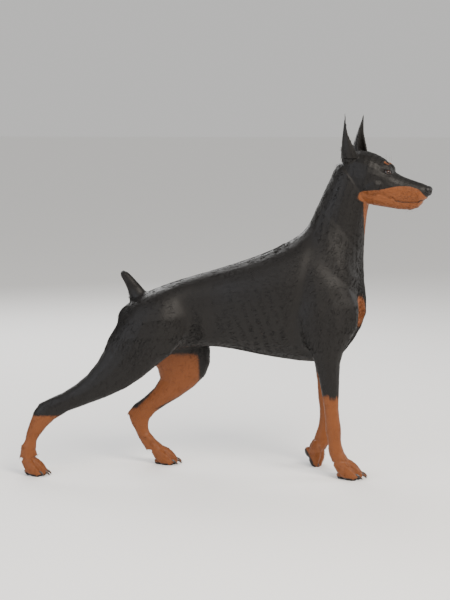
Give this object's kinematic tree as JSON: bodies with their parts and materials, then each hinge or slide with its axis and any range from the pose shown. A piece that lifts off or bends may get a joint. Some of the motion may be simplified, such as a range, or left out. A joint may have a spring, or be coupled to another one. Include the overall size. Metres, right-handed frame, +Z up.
{
  "type": "doberman pinscher",
  "caption": "Life-size still model of a lean, short-coated dog in a stretched show stance, with cropped ears and a docked tail.",
  "frame": {"origin": "the middle of the model's bounding box, on the floor that the paws stand on", "axes": "+X towards the nose, +Y towards the dog's left, +Z up"},
  "size_m": [1.1784, 0.2532, 1.0331],
  "materials": {
    "coat": "short, glossy black coat with rust markings",
    "nose_leather": "fine-grained, moist black skin",
    "eye": "polished, dark brown iris under a clear surface"
  },
  "bodies": {
    "root": {"head": "coat", "neck": "coat", "torso": "coat", "tail": "coat", "ear_left": "coat", "ear_right": "coat", "leg_front_left": "coat", "leg_front_right": "coat", "leg_hind_left": "coat", "leg_hind_right": "coat", "paw_front_left": "coat", "paw_front_right": "coat", "paw_hind_left": "coat", "paw_hind_right": "coat", "nose": "nose_leather", "eye_left": "eye", "eye_right": "eye"}
  },
  "joints": []
}
